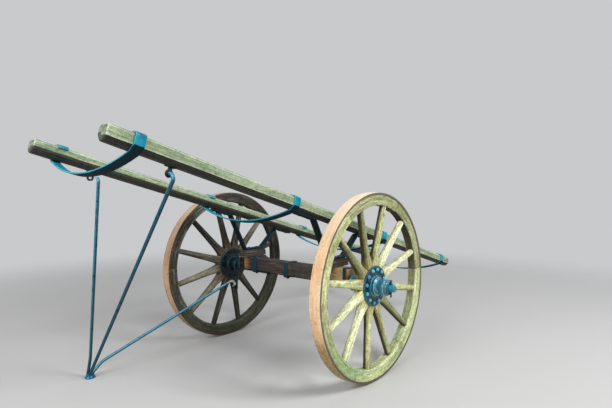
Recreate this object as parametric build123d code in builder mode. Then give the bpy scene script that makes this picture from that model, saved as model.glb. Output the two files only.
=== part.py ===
from build123d import *
from math import atan2, cos, degrees, radians, sin, sqrt, tan
import os

os.makedirs("parts", exist_ok=True)

# wheels
wheel_diameter = 1100
track_at_tyre_edge = 1398
tyre_width = 70
tyre_thickness = 14
tyre_chamfer = 2.8
felloe_width = 62
felloe_depth = 64
felloe_count = 6
felloe_gap = 0.6
felloe_chamfer = 7
spoke_count = 12
first_spoke_angle_left = 19.5
first_spoke_angle_right = 13
spoke_root_width = 54
spoke_root_depth = 44
spoke_tip_width = 34
spoke_tip_depth = 40
spoke_tip_outset = 7
root_thickness = 54
root_shoulder_radius = 124
root_tip_radius = 168
root_tip_width = 46
root_gap = 0.4
hub_plane_inset = 23
seat_gap = 0.2

# hub
flange_diameter = 237
flange_thickness = 10
flange_chamfer = 2.5
nave_core_diameter = 124
nave_barrel_diameter = 104
nave_inner_length = 84
nose_base_diameter = 112
nose_diameter = 92
nose_collar_diameter = 102
nose_tip_diameter = 80
nose_base_length = 18
nose_barrel_length = 45
nose_collar_length = 12
nose_tip_length = 12

# axle
arm_diameter = 46
arm_clearance = 0.06
arm_end_diameter = 40
arm_end_length = 32
arm_end_chamfer = 4
axle_bar_size = 46
axle_end_play = 1.0
shoulder_diameter = 84
shoulder_length = 15
washer_diameter = 76
washer_thickness = 8
washer_clearance = 0.3
linchpin_diameter = 10
linchpin_above = 40
linchpin_below = 52
linchpin_head_diameter = 16
linchpin_head_height = 10

# axle beam
beam_width = 95
beam_bottom_drop = 12
beam_middle_height = 82
beam_end_height = 96
beam_end_gap = 20
beam_step_length = 50
strap_thickness = 6
strap_width = 34
strap_from_block = 19.5
ferrule_width = 24

# rails
rail_tilt = 15.4
rail_height_over_axle = 375
rail_spacing = 757
rail_width = 78
rail_height = 72
rail_front_length = 1513
rail_rear_length = 1740
rail_top_chamfer = 8
rail_bottom_chamfer = 24
rail_end_chamfer = 9
chamfer_angle = 45

# sling bands, as places along the rails from the point above the axle
front_band_place = 1380
fore_band_place = 420
aft_band_place = -555
rear_band_place = -1570
band_width = 48
band_thickness = 8
band_lap = 10
sling_drop = 114

# braces
block_length = 200
block_width = 70
block_height = 48
block_chamfer = 16
brace_width = 46
brace_thickness = 12
brace_bend_radius = 14
brace_foot_length = 74
brace_plate_length = 160
foot_gap = 6
front_brace_place = 212
rear_brace_place = -250

# stand
rod_diameter = 18
foot_stem_diameter = 54
foot_stem_height = 26
foot_base_diameter = 62
foot_base_thickness = 10
rod_ring_radius = 14.5
rod_turn_left = 70
rod_turn_right = -70
rod_turn_rear = 172
stand_foot_from_axle = 1085
stand_foot_side = -620
eye_place = 1200
eye_inset = 0
eye_drop = 32
eye_ring_diameter = 36
eye_thickness = 10
eye_clearance = 0.08
eye_stem_width = 18
eye_plate_length = 50
eye_plate_width = 24
eye_plate_thickness = 4
pin_reach = 12
pin_bend_radius = 20
left_pin_corner = 54
right_pin_corner = 100
right_rod_bend_height = 130
right_rod_bend_shift = 18
right_rod_bend_radius = 90
rear_rod_corner_back = 67
rear_rod_corner_height = 80
rear_rod_bend_radius = 90
lug_from_beam_end = 60
lug_width = 44
lug_thickness = 12
lug_top_below_beam = 14
lug_bend_below_beam = 8
lug_reach_below_hook = 18
lug_bend_radius = 14
hook_from_axle = 132
hook_height = 456
hook_start_outset = 20
hook_reach = 45
hook_reach_drop = 19
hook_return = 33
hook_drop = 41
hook_top_radius = 16
hook_end_radius = 12

axle_height = wheel_diameter / 2
rail_cos = cos(radians(rail_tilt))
rail_sin = sin(radians(rail_tilt))
rail_end_drop = (rail_height / 2 - rail_end_chamfer) * rail_sin
front_reach = rail_front_length * rail_cos + rail_end_drop
rear_reach = rail_rear_length * rail_cos + rail_end_drop
axle_x = (rear_reach - front_reach) / 2
rail_y = rail_spacing / 2
axle_axis = Axis((axle_x, 0, axle_height), (0, 1, 0))
sides = (("left", 1), ("right", -1))
# wheel, side, angle of its first spoke from upright towards the front
wheels = (("left", 1, first_spoke_angle_left), ("right", -1, first_spoke_angle_right))


def on_rail(place, across=0, up=0):
    """A point at a place along the rails, across the cart and square to the rails."""
    return Vector(
        axle_x + place * rail_cos - up * rail_sin,
        across,
        axle_height + rail_height_over_axle + place * rail_sin + up * rail_cos,
    )


def rail_plane(place, across=0, up=0):
    """A plane square to the rails, its x across the cart and its y up."""
    return Plane(origin=on_rail(place, across, up), x_dir=(0, 1, 0), z_dir=(rail_cos, 0, rail_sin))


def through_axle(side):
    """The upright plane through the axle's line, its x outwards and its y up."""
    return Plane(origin=(axle_x, 0, axle_height), x_dir=(0, side, 0), z_dir=(side, 0, 0))


def square_to_axle(side, place):
    """A plane square to the axle at a place outwards, its x forwards and its z outwards."""
    return Plane(origin=(axle_x, side * place, axle_height), x_dir=(1, 0, 0), z_dir=(0, side, 0))


def save(part, label):
    part.label = label
    export_step(part, f"parts/{label}.step")


# rails, chamfered along their arrises and at their ends
for side_name, side in sides:
    with BuildPart() as rail:
        with BuildSketch(rail_plane(-rail_rear_length, side * rail_y)) as section:
            Rectangle(rail_width, rail_height)
            chamfer(section.vertices().group_by(Axis.Y)[-1], rail_top_chamfer)
            chamfer(section.vertices().group_by(Axis.Y)[0], rail_bottom_chamfer)
        extrude(amount=rail_front_length + rail_rear_length)
        ends = rail.faces().filter_by(Axis((0, 0, 0), (rail_cos, 0, rail_sin)))
        chamfer(ends.edges(), rail_end_chamfer)
    save(rail.part, f"rail_{side_name}")

# sling bands: over the top, down the outer side and under each rail, then hanging between them
half_width = rail_width / 2
half_height = rail_height / 2
outer_side = rail_y + half_width
inner_side = rail_y - half_width
corner_shift = band_thickness * tan(radians(chamfer_angle / 2))
sling_angle = 2 * degrees(atan2(sling_drop - half_height, outer_side - rail_bottom_chamfer))
bend_angle = radians((chamfer_angle + sling_angle) / 2)
bend_reach = band_thickness / cos(radians((chamfer_angle - sling_angle) / 2))
bend_start = Vector(outer_side - rail_bottom_chamfer, -half_height)
bend_outer = bend_start + Vector(sin(bend_angle), -cos(bend_angle)) * bend_reach
against_rail = (
    (bend_start.X, bend_start.Y),
    (outer_side, rail_bottom_chamfer - half_height),
    (outer_side, half_height - rail_top_chamfer),
    (outer_side - rail_top_chamfer, half_height),
    (inner_side + rail_top_chamfer, half_height),
    (inner_side, half_height - rail_top_chamfer),
    (inner_side, half_height - band_lap),
)
away_from_rail = (
    (inner_side - band_thickness, half_height - band_lap),
    (inner_side - band_thickness, half_height - rail_top_chamfer + corner_shift),
    (inner_side + rail_top_chamfer - corner_shift, half_height + band_thickness),
    (outer_side - rail_top_chamfer + corner_shift, half_height + band_thickness),
    (outer_side + band_thickness, half_height - rail_top_chamfer + corner_shift),
    (outer_side + band_thickness, rail_bottom_chamfer - half_height - corner_shift),
    (bend_outer.X, bend_outer.Y),
)
band_places = (front_band_place, fore_band_place, aft_band_place, rear_band_place)
for number, place in enumerate(band_places, start=1):
    with BuildPart() as band:
        with BuildSketch(rail_plane(place)):
            with BuildLine():
                wrap = Polyline(*against_rail, *away_from_rail)
                mirror(wrap, about=Plane.YZ)
                ThreePointArc(wrap @ 0, (0, -sling_drop), (-(wrap @ 0).X, (wrap @ 0).Y))
                ThreePointArc(wrap @ 1, (0, -sling_drop - band_thickness), (-(wrap @ 1).X, (wrap @ 1).Y))
            make_face()
        extrude(amount=band_width / 2, both=True)
    save(band.part, f"sling_band_{number}")

# hub places outwards along the axle
hub_plane = track_at_tyre_edge / 2 - tyre_width / 2 - hub_plane_inset
nave_inner_end = hub_plane - root_thickness / 2 - flange_thickness - nave_inner_length
nose_start = hub_plane + root_thickness / 2 + flange_thickness
nave_outer_end = nose_start + nose_base_length + nose_barrel_length + nose_collar_length + nose_tip_length
shoulder_end = nave_inner_end - axle_end_play
washer_start = nave_outer_end + axle_end_play
washer_end = washer_start + washer_thickness
linchpin_place = washer_end + linchpin_diameter / 2 + seat_gap
arm_length = washer_end + arm_end_length

# axle beam, with the iron axle's groove along its underside
beam_half_length = nave_inner_end - beam_end_gap
beam_step_outer = rail_y - block_width / 2 - strap_from_block - strap_width
beam_step_inner = beam_step_outer - beam_step_length
beam_bottom = axle_height - beam_bottom_drop
beam_end_top = beam_bottom + beam_end_height
beam_middle_top = beam_bottom + beam_middle_height
bar_half = axle_bar_size / 2
with BuildPart() as beam:
    with BuildSketch(Plane.YZ.offset(axle_x)):
        with BuildLine():
            top = Polyline(
                (beam_half_length, beam_bottom),
                (beam_half_length, beam_end_top),
                (beam_step_outer, beam_end_top),
                (beam_step_inner, beam_middle_top),
                (0, beam_middle_top),
            )
            mirror(top, about=Plane.YZ)
            Line((beam_half_length, beam_bottom), (-beam_half_length, beam_bottom))
        make_face()
    extrude(amount=beam_width / 2, both=True)
    with BuildSketch(Plane.XZ):
        with Locations((axle_x, axle_height)):
            Rectangle(axle_bar_size, axle_bar_size)
    extrude(amount=beam_half_length, both=True, mode=Mode.SUBTRACT)
save(beam.part, "axle_beam")

# iron axle: square bar, shoulders, round arms and reduced ends with linchpin holes
with BuildPart() as axle:
    with BuildSketch(Plane.XZ):
        with Locations((axle_x, axle_height)):
            Rectangle(axle_bar_size, axle_bar_size)
    extrude(amount=shoulder_end - shoulder_length, both=True)
    for side_name, side in sides:
        with BuildSketch(through_axle(side)):
            with BuildLine():
                Polyline(
                    (shoulder_end - shoulder_length, 0),
                    (shoulder_end - shoulder_length, shoulder_diameter / 2),
                    (shoulder_end, shoulder_diameter / 2),
                    (shoulder_end, arm_diameter / 2),
                    (washer_start, arm_diameter / 2),
                    (washer_start, arm_end_diameter / 2),
                    (arm_length - arm_end_chamfer, arm_end_diameter / 2),
                    (arm_length, arm_end_diameter / 2 - arm_end_chamfer),
                    (arm_length, 0),
                    close=True,
                )
            make_face()
        revolve(axis=axle_axis)
    with BuildSketch(Plane.XY.offset(axle_height)):
        with Locations((axle_x, linchpin_place), (axle_x, -linchpin_place)):
            Circle(linchpin_diameter / 2 + seat_gap)
    extrude(amount=arm_diameter, both=True, mode=Mode.SUBTRACT)
save(axle.part, "axle_iron")

# straps and end ferrules round the beam: place, width, beam top there
straps = (
    (0, strap_width, beam_middle_top),
    (beam_step_outer + strap_width / 2, strap_width, beam_end_top),
    (-beam_step_outer - strap_width / 2, strap_width, beam_end_top),
    (beam_half_length - ferrule_width / 2, ferrule_width, beam_end_top),
    (ferrule_width / 2 - beam_half_length, ferrule_width, beam_end_top),
)
bar_bottom = axle_height - bar_half
with BuildPart() as beam_straps:
    for place, width, top_height in straps:
        middle = (top_height + bar_bottom) / 2
        with BuildSketch(Plane.XZ.offset(-place)):
            with Locations((axle_x, middle)):
                Rectangle(beam_width + 2 * strap_thickness, top_height - bar_bottom + 2 * strap_thickness)
                Rectangle(beam_width, top_height - bar_bottom, mode=Mode.SUBTRACT)
        extrude(amount=width / 2, both=True)
save(beam_straps.part, "axle_straps")

# washers and linchpins
for side_name, side in sides:
    with BuildPart() as washer:
        with BuildSketch(Plane.XZ.offset(-side * washer_start)):
            with Locations((axle_x, axle_height)):
                Circle(washer_diameter / 2)
                Circle(arm_end_diameter / 2 + washer_clearance, mode=Mode.SUBTRACT)
        extrude(amount=-side * washer_thickness)
    save(washer.part, f"washer_{side_name}")
    with BuildPart() as linchpin:
        with BuildSketch(Plane.XY.offset(axle_height - linchpin_below)):
            with Locations((axle_x, side * linchpin_place)):
                Circle(linchpin_diameter / 2)
        extrude(amount=linchpin_below + linchpin_above)
        with BuildSketch(Plane.XY.offset(axle_height + linchpin_above)):
            with Locations((axle_x, side * linchpin_place)):
                Circle(linchpin_head_diameter / 2)
        extrude(amount=linchpin_head_height)
    save(linchpin.part, f"linchpin_{side_name}")

# foot blocks on the beam, and bent flat braces up to the rails
block_top = beam_end_top + block_height
# leg, place of its top bend along the rail, forward or back
brace_legs = (("front", front_brace_place, 1), ("rear", rear_brace_place, -1))
for side_name, side in sides:
    with BuildPart() as block:
        with BuildSketch(Plane.XY.offset(beam_end_top)):
            with Locations((axle_x, side * rail_y)):
                Rectangle(block_length, block_width)
        extrude(amount=block_height)
        chamfer(block.faces().sort_by(Axis.Z)[-1].edges().filter_by(Axis.Y), block_chamfer)
    save(block.part, f"foot_block_{side_name}")
    for leg_name, top_place, direction in brace_legs:
        # corners of the bar's centre line: foot end, foot bend, top bend, plate end
        bend = on_rail(top_place, 0, -half_height - brace_thickness / 2)
        tip = on_rail(top_place + direction * brace_plate_length, 0, -half_height - brace_thickness / 2)
        foot_height_at_centre = block_top + brace_thickness / 2
        corners = (
            (axle_x + direction * foot_gap, foot_height_at_centre),
            (axle_x + direction * (foot_gap + brace_foot_length), foot_height_at_centre),
            (bend.X, bend.Z),
            (tip.X, tip.Z),
        )
        with BuildPart() as brace:
            with BuildLine(Plane.XZ.offset(-side * rail_y)) as route:
                FilletPolyline(*corners, radius=brace_bend_radius)
            with BuildSketch(Plane(origin=route.line @ 0, x_dir=(0, 1, 0), z_dir=route.line % 0)):
                Rectangle(brace_width, brace_thickness)
            sweep()
        save(brace.part, f"brace_{side_name}_{leg_name}")

# wheels
felloe_outer = wheel_diameter / 2 - tyre_thickness
felloe_inner = felloe_outer - felloe_depth
rim_plane = track_at_tyre_edge / 2 - tyre_width / 2
spoke_step = 360 / spoke_count
felloe_step = 360 / felloe_count
# flat spoke ends whose corners just clear the felloes' inner face
spoke_end_radius = sqrt((felloe_inner - seat_gap) ** 2 - (spoke_tip_width / 2) ** 2)

# the spokes' wedge-shaped roots, which meet in a ring round the nave
root_half_angle = radians(spoke_step / 2)
root_inner = nave_core_diameter / 2 + seat_gap
root_narrowing = root_gap / 2 / cos(root_half_angle)
root_inner_half = root_inner * tan(root_half_angle) - root_narrowing
root_shoulder_half = root_shoulder_radius * tan(root_half_angle) - root_narrowing
# the nave's outline from its bore outwards and along to the nose
bore = arm_diameter / 2 + arm_clearance
nave_inner_step = nave_inner_end + nave_inner_length
nave_outline = [
    (nave_inner_end, bore),
    (nave_inner_end, nave_barrel_diameter / 2),
    (nave_inner_step - flange_thickness, nave_barrel_diameter / 2),
    (nave_inner_step, nave_core_diameter / 2),
    (nose_start, nave_core_diameter / 2),
]
place = nose_start
for length, diameter in (
    (nose_base_length, nose_base_diameter),
    (nose_barrel_length, nose_diameter),
    (nose_collar_length, nose_collar_diameter),
    (nose_tip_length, nose_tip_diameter),
):
    nave_outline += [(place, diameter / 2), (place + length, diameter / 2)]
    place += length
nave_outline += [(nave_outer_end, bore)]

for side_name, side, first_spoke_angle in wheels:
    with BuildPart() as tyre:
        with BuildSketch(through_axle(side)):
            with Locations((rim_plane, wheel_diameter / 2 - tyre_thickness / 2)):
                Rectangle(tyre_width, tyre_thickness)
        revolve(axis=axle_axis)
        chamfer(tyre.edges().filter_by(GeomType.CIRCLE).group_by(SortBy.RADIUS)[-1], tyre_chamfer)
    save(tyre.part, f"tyre_{side_name}")

    with BuildPart() as felloes:
        with BuildSketch(square_to_axle(side, rim_plane - felloe_width / 2)):
            Circle(felloe_outer)
            Circle(felloe_inner, mode=Mode.SUBTRACT)
            # the sketch's angles run from the front, down on the left and up on the right
            with PolarLocations((felloe_outer + felloe_inner) / 2, felloe_count,
                                start_angle=side * (first_spoke_angle + spoke_step / 2 - 90)):
                Rectangle(felloe_depth * 2, felloe_gap, mode=Mode.SUBTRACT)
        extrude(amount=felloe_width)
        inner_faces = felloes.faces().filter_by(GeomType.CYLINDER).sort_by(
            lambda face: (face.center(CenterOf.BOUNDING_BOX) - Vector(axle_x, side * rim_plane, axle_height)).length
        )[:felloe_count]
        chamfer(inner_faces.edges().filter_by(GeomType.CIRCLE), felloe_chamfer)
    save(felloes.part, f"felloes_{side_name}")

    with BuildPart() as spokes:
        for number in range(spoke_count):
            turn = radians(first_spoke_angle + number * spoke_step)
            outwards = Vector(sin(turn), 0, cos(turn))
            around = Vector(cos(turn), 0, -sin(turn))
            hub_centre = Vector(axle_x, side * hub_plane, axle_height)
            with BuildSketch(Plane(origin=hub_centre, x_dir=outwards, z_dir=(0, 1, 0))):
                Polygon(
                    (root_inner, -root_inner_half),
                    (root_inner, root_inner_half),
                    (root_shoulder_radius, root_shoulder_half),
                    (root_tip_radius, root_tip_width / 2),
                    (root_tip_radius, -root_tip_width / 2),
                    (root_shoulder_radius, -root_shoulder_half),
                    align=None,
                )
            extrude(amount=root_thickness / 2, both=True)
            for place, radius, width, depth in (
                (hub_plane, root_shoulder_radius, spoke_root_width, spoke_root_depth),
                (rim_plane + spoke_tip_outset, spoke_end_radius, spoke_tip_width, spoke_tip_depth),
            ):
                centre = Vector(axle_x, side * place, axle_height) + outwards * radius
                with BuildSketch(Plane(origin=centre, x_dir=around, z_dir=outwards)):
                    Ellipse(width / 2, depth / 2)
            loft()
    save(spokes.part, f"spokes_{side_name}")

    for flange_name, start in (
        ("outer", hub_plane + root_thickness / 2),
        ("inner", hub_plane - root_thickness / 2 - flange_thickness),
    ):
        with BuildPart() as flange:
            with BuildSketch(square_to_axle(side, start)):
                Circle(flange_diameter / 2)
                Circle(nave_core_diameter / 2, mode=Mode.SUBTRACT)
            extrude(amount=flange_thickness)
            chamfer(flange.edges().filter_by(GeomType.CIRCLE).group_by(SortBy.RADIUS)[-1], flange_chamfer)
        save(flange.part, f"flange_{flange_name}_{side_name}")

    with BuildPart() as nave:
        with BuildSketch(through_axle(side)):
            Polygon(*nave_outline, align=None)
        revolve(axis=axle_axis)
    save(nave.part, f"nave_{side_name}")

# prop stand: two rods hang in eyes under the rails, the third runs back to the lug
eye_y = rail_y - eye_inset
eye_centre = on_rail(eye_place, 0, -half_height - eye_drop)
foot_x = axle_x + stand_foot_from_axle
lug_place = lug_from_beam_end - beam_half_length
hook_start = Vector(axle_x + hook_from_axle, lug_place - hook_start_outset, hook_height)


def on_foot(turn):
    """Where a rod stands on the foot's top, at an angle round it from the front."""
    return Vector(
        foot_x + rod_ring_radius * cos(radians(turn)),
        stand_foot_side + rod_ring_radius * sin(radians(turn)),
        foot_stem_height,
    )


def by_eye(side, outwards):
    """A point level with an eye's centre, moved to the cart's left."""
    return Vector(eye_centre.X, side * eye_y + outwards, eye_centre.Z)


right_start = on_foot(rod_turn_right)
right_pin = by_eye(-1, right_pin_corner)
right_share = (right_rod_bend_height - foot_stem_height) / (right_pin.Z - foot_stem_height)
right_bend = right_start + (right_pin - right_start) * right_share + Vector(0, right_rod_bend_shift, 0)
rear_lean = (hook_start.Y - stand_foot_side) / (foot_x - hook_start.X)
rear_corner = Vector(
    foot_x - rear_rod_corner_back, stand_foot_side + rear_rod_corner_back * rear_lean, rear_rod_corner_height
)
hook_turn = hook_start + Vector(0, hook_reach, -hook_reach_drop)
hook_end = hook_start + Vector(0, hook_reach - hook_return, -hook_drop)

# rod, its place round the foot, corners of its route above the foot, radius at each bend
stand_rods = (
    ("left", rod_turn_left, (by_eye(1, left_pin_corner), by_eye(1, -pin_reach)), (pin_bend_radius,)),
    (
        "right",
        rod_turn_right,
        (right_bend, right_pin, by_eye(-1, -pin_reach)),
        (right_rod_bend_radius, pin_bend_radius),
    ),
    (
        "rear",
        rod_turn_rear,
        (rear_corner, hook_start, hook_turn, hook_end),
        (rear_rod_bend_radius, hook_top_radius, hook_end_radius),
    ),
)
for rod_name, turn, corners, bend_radii in stand_rods:
    first = on_foot(turn)
    into_foot = (first - corners[0]).normalized() * rod_diameter
    with BuildPart() as rod:
        with BuildLine() as route:
            FilletPolyline(first + into_foot, *corners, radius=bend_radii)
        with BuildSketch(Plane(origin=route.line @ 0, z_dir=route.line % 0)):
            Circle(rod_diameter / 2)
        sweep()
        split(bisect_by=Plane.XY.offset(foot_stem_height), keep=Keep.TOP)
    save(rod.part, f"stand_rod_{rod_name}")

with BuildPart() as foot:
    with BuildSketch(Plane.XY):
        with Locations((foot_x, stand_foot_side)):
            Circle(foot_base_diameter / 2)
    extrude(amount=foot_base_thickness)
    with BuildSketch(Plane.XY.offset(foot_base_thickness)):
        with Locations((foot_x, stand_foot_side)):
            Circle(foot_stem_diameter / 2)
    extrude(amount=foot_stem_height - foot_base_thickness)
save(foot.part, "stand_foot")

# eyes that the stand hangs in, each with its stem and plate under the rail
for side_name, side in sides:
    across = side * eye_y
    with BuildPart() as eye:
        with BuildSketch(Plane(origin=(eye_centre.X, across + eye_thickness / 2, eye_centre.Z),
                               x_dir=(rail_cos, 0, rail_sin), z_dir=(0, -1, 0))):
            with Locations((0, eye_drop / 2)):
                Rectangle(eye_stem_width, eye_drop)
            Circle(eye_ring_diameter / 2)
            Circle(rod_diameter / 2 + eye_clearance, mode=Mode.SUBTRACT)
        extrude(amount=eye_thickness)
        with BuildSketch(Plane(origin=on_rail(eye_place, across, -half_height),
                               x_dir=(rail_cos, 0, rail_sin), z_dir=(rail_sin, 0, -rail_cos))):
            Rectangle(eye_plate_length, eye_plate_width)
        extrude(amount=eye_plate_thickness)
    save(eye.part, f"stand_eye_{side_name}")

# lug on the beam's front face that the stand's hook bears on
beam_front = axle_x + beam_width / 2
lug_x = hook_start.X - rod_diameter / 2 - seat_gap - lug_thickness / 2
with BuildPart() as lug:
    with BuildLine() as route:
        FilletPolyline(
            (beam_front + lug_thickness / 2, lug_place, beam_end_top - lug_top_below_beam),
            (beam_front + lug_thickness / 2, lug_place, beam_bottom - lug_bend_below_beam),
            (lug_x, lug_place, hook_height),
            (lug_x, lug_place, hook_height - hook_drop - lug_reach_below_hook),
            radius=lug_bend_radius,
        )
    with BuildSketch(Plane(origin=route.line @ 0, x_dir=(0, 1, 0), z_dir=route.line % 0)):
        Rectangle(lug_width, lug_thickness)
    sweep()
save(lug.part, "stand_lug")
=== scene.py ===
import math
import bmesh
import bpy
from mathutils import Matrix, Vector, noise


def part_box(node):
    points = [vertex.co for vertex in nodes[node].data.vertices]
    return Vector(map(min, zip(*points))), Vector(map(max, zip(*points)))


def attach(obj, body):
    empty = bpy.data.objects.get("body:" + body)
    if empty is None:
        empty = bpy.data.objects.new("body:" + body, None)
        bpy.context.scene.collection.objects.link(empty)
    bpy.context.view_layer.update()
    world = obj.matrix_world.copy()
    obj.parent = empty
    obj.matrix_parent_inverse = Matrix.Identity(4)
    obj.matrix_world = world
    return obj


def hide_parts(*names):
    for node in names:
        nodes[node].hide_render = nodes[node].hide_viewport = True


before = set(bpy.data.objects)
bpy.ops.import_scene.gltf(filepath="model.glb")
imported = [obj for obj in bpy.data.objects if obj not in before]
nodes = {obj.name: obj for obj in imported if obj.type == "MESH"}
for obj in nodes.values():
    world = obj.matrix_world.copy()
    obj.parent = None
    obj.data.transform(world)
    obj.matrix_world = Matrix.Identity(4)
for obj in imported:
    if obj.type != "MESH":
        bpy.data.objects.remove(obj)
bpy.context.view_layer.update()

scene = bpy.context.scene
collection = scene.collection

tyreLow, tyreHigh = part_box("tyre_left")
axleX = (tyreLow.x + tyreHigh.x) / 2
axleZ = (tyreLow.z + tyreHigh.z) / 2
sideSigns = {"left": 1, "right": -1}
creaseAngle = math.radians(38)  # edges sharper than this are drawn crisp
bevelAngle = math.radians(40)  # and those sharper than this are rounded
flatAngle = math.radians(1.5)  # faces that differ by less are made one
mergeDistance = 1e-5

# the photograph's place and angle
cameraLook = {
    "place": (2.338, 2.049, 1.097),
    "turn": (88.54, 0.0, 130.59),  # degrees
    "lens": 26.06,
    "sensor": 36.0,
}
cameraData = bpy.data.cameras.new("photoCamera")
cameraData.lens = cameraLook["lens"]
cameraData.sensor_width = cameraLook["sensor"]
camera = bpy.data.objects.new("photoCamera", cameraData)
camera.location = cameraLook["place"]
camera.rotation_euler = [math.radians(a) for a in cameraLook["turn"]]
collection.objects.link(camera)
scene.camera = camera
print("camera ready")


def mathsMethod(operation, swapped=False):  # a method that adds one maths node
    def method(self, *others):
        values = (*others, self) if swapped else (self, *others)
        return self.web.add("ShaderNodeMath", dict(enumerate(values)), operation=operation)
    return method


# wraps a node's output socket, so that it can be added, multiplied and compared
class Wire:
    __add__ = mathsMethod("ADD")
    __radd__ = mathsMethod("ADD", swapped=True)
    __sub__ = mathsMethod("SUBTRACT")
    __rsub__ = mathsMethod("SUBTRACT", swapped=True)
    __mul__ = mathsMethod("MULTIPLY")
    __rmul__ = mathsMethod("MULTIPLY", swapped=True)
    __gt__ = mathsMethod("GREATER_THAN")
    __abs__ = mathsMethod("ABSOLUTE")
    most = mathsMethod("MAXIMUM")

    def __init__(self, web, socket):
        self.web = web
        self.socket = socket

    def out(self, name):  # another output of the same node
        return Wire(self.web, self.socket.node.outputs[name])

    def clamp(self):
        return self.web.add("ShaderNodeMath", {0: self, 1: 0.0}, operation="ADD", use_clamp=True)

    def between(self, low, high):  # 0 at low, 1 at high, smooth in the middle
        return self.web.add("ShaderNodeMapRange", {"Value": self, "From Min": low, "From Max": high},
                            interpolation_type="SMOOTHSTEP", clamp=True)


# a node tree: one method adds any node, its settings first
class Web:
    def __init__(self, tree):
        self.tree = tree

    def add(self, kind, sockets=None, **settings):
        node = self.tree.nodes.new(kind)
        for key, value in settings.items():
            setattr(node, key, value)
        for key, value in (sockets or {}).items():
            socket = node.inputs[key]
            if isinstance(value, Wire):
                self.tree.links.new(value.socket, socket)
            elif socket.type == "RGBA":
                socket.default_value = (*value, 1.0)
            else:
                socket.default_value = value
        return Wire(self, node.outputs[0]) if node.outputs else None

    def vector(self, x=0.0, y=0.0, z=0.0):
        return self.add("ShaderNodeCombineXYZ", {"X": x, "Y": y, "Z": z})

    def parts(self, vector):
        made = self.add("ShaderNodeSeparateXYZ", {0: vector})
        return made, made.out("Y"), made.out("Z")


def linear(red, green, blue):  # from a colour in sRGB, 0 to 255
    def one(v):
        v /= 255
        return v / 12.92 if v < 0.04045 else ((v + 0.055) / 1.055) ** 2.4
    return (one(red), one(green), one(blue))


def madeLinear(look):  # every tuple in a finish's values is a colour
    return {key: linear(*value) if isinstance(value, tuple) else value for key, value in look.items()}


class Finish(Web):
    def __init__(self, name):
        self.material = bpy.data.materials.new(name)
        self.material.use_nodes = True
        super().__init__(self.material.node_tree)
        self.tree.nodes.clear()

    def place(self):
        return self.add("ShaderNodeTexCoord").out("Object")

    def attribute(self, name, output="Fac"):
        return self.add("ShaderNodeAttribute", attribute_name=name).out(output)

    def mapped(self, vector, scale=(1, 1, 1), turn=(0, 0, 0), shift=(0, 0, 0)):
        sockets = {"Vector": vector, "Scale": scale, "Rotation": turn, "Location": shift}
        return self.add("ShaderNodeMapping", sockets)

    def vectors(self, operation, *values, output="Vector"):
        return self.add("ShaderNodeVectorMath", dict(enumerate(values)), operation=operation).out(output)

    def cloud(self, vector, scale, detail, roughness=0.55, distortion=0.0):
        if isinstance(scale, tuple):  # stretched along the axes
            vector, scale = self.mapped(vector, scale), 1.0
        sockets = {"Vector": vector, "Scale": scale, "Detail": detail, "Roughness": roughness,
                   "Distortion": distortion}
        return self.add("ShaderNodeTexNoise", sockets).out("Fac")

    def mix(self, amount, first, second, blend="MIX"):
        return self.add("ShaderNodeMix", {0: amount, 6: first, 7: second}, data_type="RGBA",
                        blend_type=blend).out(2)

    def over(self, amount, second, blend="MIX"):  # lays a colour over what is there
        self.colour = self.mix(amount, self.colour, second, blend)

    def chance(self, number):  # a steady random value from a number
        return self.add("ShaderNodeTexWhiteNoise", {"W": number}, noise_dimensions="1D").out("Value")

    def bump(self, height, distance, strength):
        return self.add("ShaderNodeBump", {"Height": height, "Distance": distance, "Strength": strength})

    def surface(self, sockets):
        shader = self.add("ShaderNodeBsdfPrincipled", sockets)
        self.add("ShaderNodeOutputMaterial", {"Surface": shader})
        return self.material


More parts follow.
